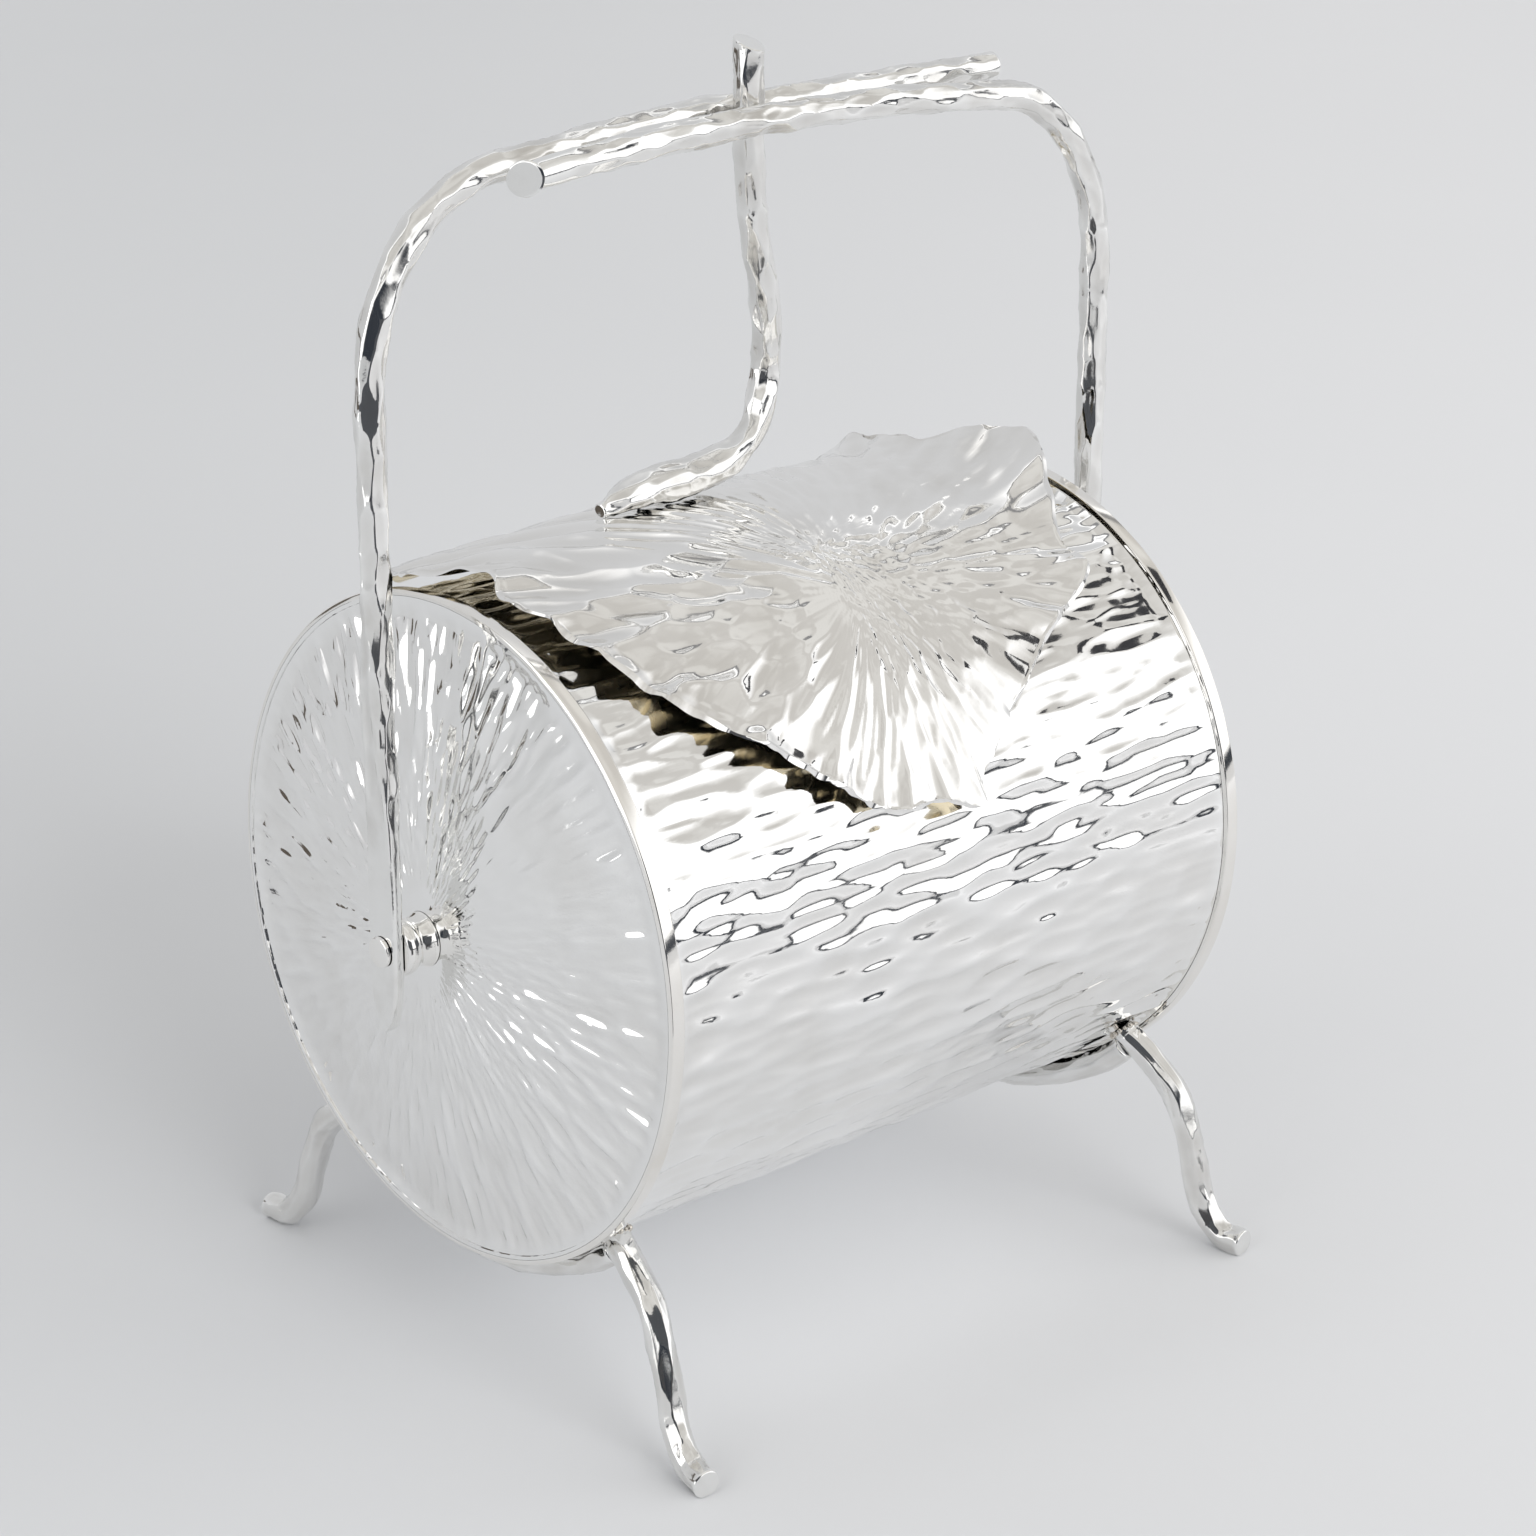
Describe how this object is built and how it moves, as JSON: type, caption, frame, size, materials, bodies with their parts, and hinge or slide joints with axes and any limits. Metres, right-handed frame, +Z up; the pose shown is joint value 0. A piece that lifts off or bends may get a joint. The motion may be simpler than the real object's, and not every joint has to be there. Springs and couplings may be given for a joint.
{
  "type": "lidded champagne bucket",
  "caption": "Hammered silver-plated drum bucket on branch legs; a branch handle swings on end pivots and carries a leaf-shaped lid over the mouth.",
  "frame": {"origin": "on the floor, under the middle of the drum's axis", "axes": "+X along the drum's axis to the right, -Y to the front where the leaf's tip hangs, +Z up"},
  "size_m": [0.3054, 0.247, 0.4191],
  "materials": {
    "hammered_silver": "polished",
    "polished_silver": "polished",
    "branch_silver": "polished",
    "leaf_silver": "polished",
    "inner_silver": "satin"
  },
  "bodies": {
    "bucket": {"drum_shell": "hammered_silver", "left_end_plate": "hammered_silver", "right_end_plate": "hammered_silver", "left_rim_band": "polished_silver", "right_rim_band": "polished_silver", "left_pivot_boss": "polished_silver", "right_pivot_boss": "polished_silver", "left_pivot_rivet": "polished_silver", "right_pivot_rivet": "polished_silver", "left_backing_washer": "inner_silver", "right_backing_washer": "inner_silver", "left_saddle": "branch_silver", "right_saddle": "branch_silver", "front_left_leg": "branch_silver", "back_left_leg": "branch_silver", "front_right_leg": "branch_silver", "back_right_leg": "branch_silver"},
    "handle": {"left_handle_branch": "branch_silver", "right_handle_branch": "branch_silver", "lid_stem": "branch_silver", "leaf_lid": "leaf_silver"}
  },
  "joints": [
    {"name": "handle_swing", "type": "hinge", "parent": "bucket", "child": "handle", "pos_m": [0, 0, 0.15], "axis": [1, 0, 0], "range_deg": [-105, 110]}
  ]
}
